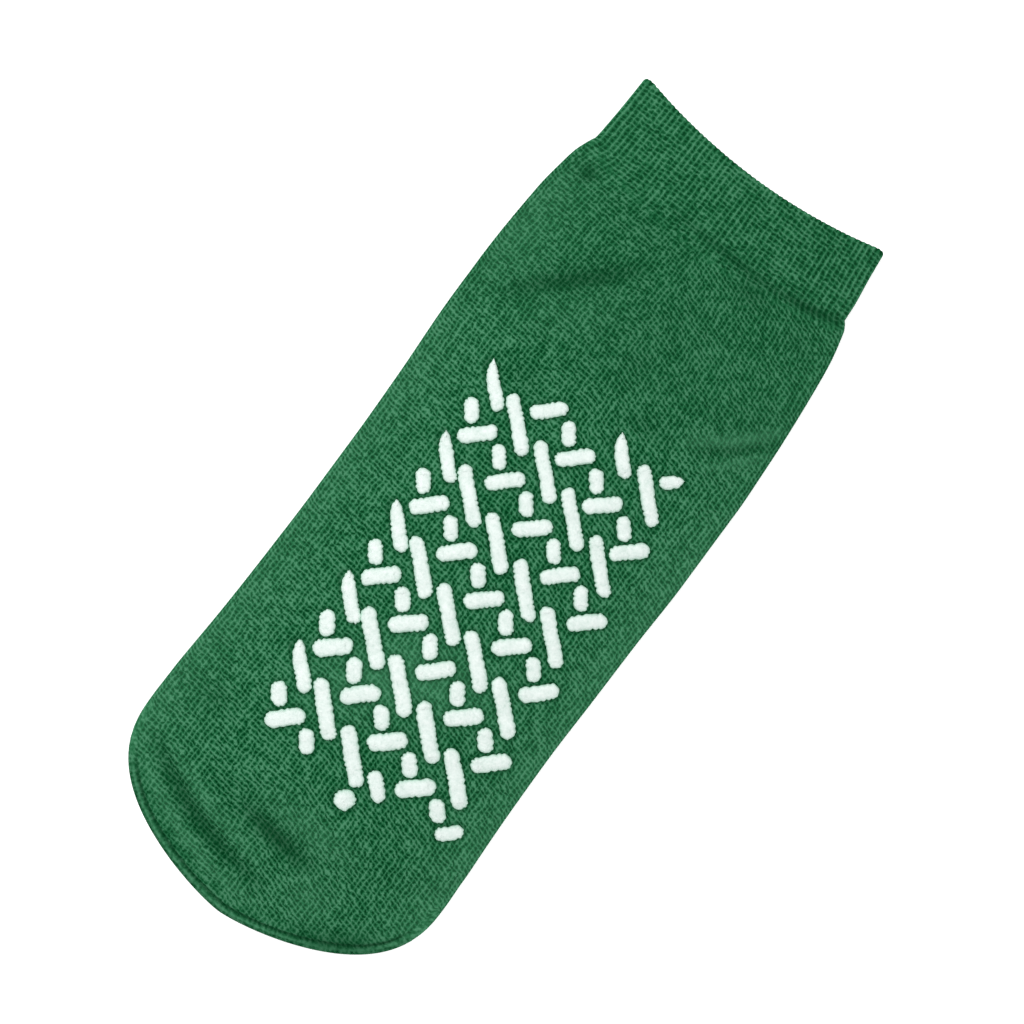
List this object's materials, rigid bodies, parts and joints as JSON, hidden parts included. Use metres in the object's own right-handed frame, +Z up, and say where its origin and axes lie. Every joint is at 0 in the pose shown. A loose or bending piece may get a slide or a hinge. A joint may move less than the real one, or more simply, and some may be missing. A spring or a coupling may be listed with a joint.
{
  "type": "slipper sock",
  "caption": "Knitted tube slipper sock lying flat and slack, with a ribbed cuff, a closed toe seam and raised grip strokes on both faces.",
  "frame": {"origin": "centre of the sock's outline in plan, on the floor that it lies on", "axes": "+Z up from the floor through the flat sock, +Y along its length from the toe towards the collar, +X across it"},
  "size_m": [0.106, 0.27, 0.0162],
  "materials": {
    "green_knit": "soft matt jersey knit of fine green yarn",
    "white_print": "matt raised white grip print, slightly bumpy"
  },
  "bodies": {
    "root": {"knit_sock": "green_knit", "upper_tread_row_1": "white_print", "upper_tread_row_2": "white_print", "upper_tread_row_3": "white_print", "upper_tread_row_4": "white_print", "upper_tread_row_5": "white_print", "upper_tread_row_6": "white_print", "lower_tread_row_1": "white_print", "lower_tread_row_2": "white_print", "lower_tread_row_3": "white_print", "lower_tread_row_4": "white_print", "lower_tread_row_5": "white_print", "lower_tread_row_6": "white_print"}
  },
  "joints": []
}
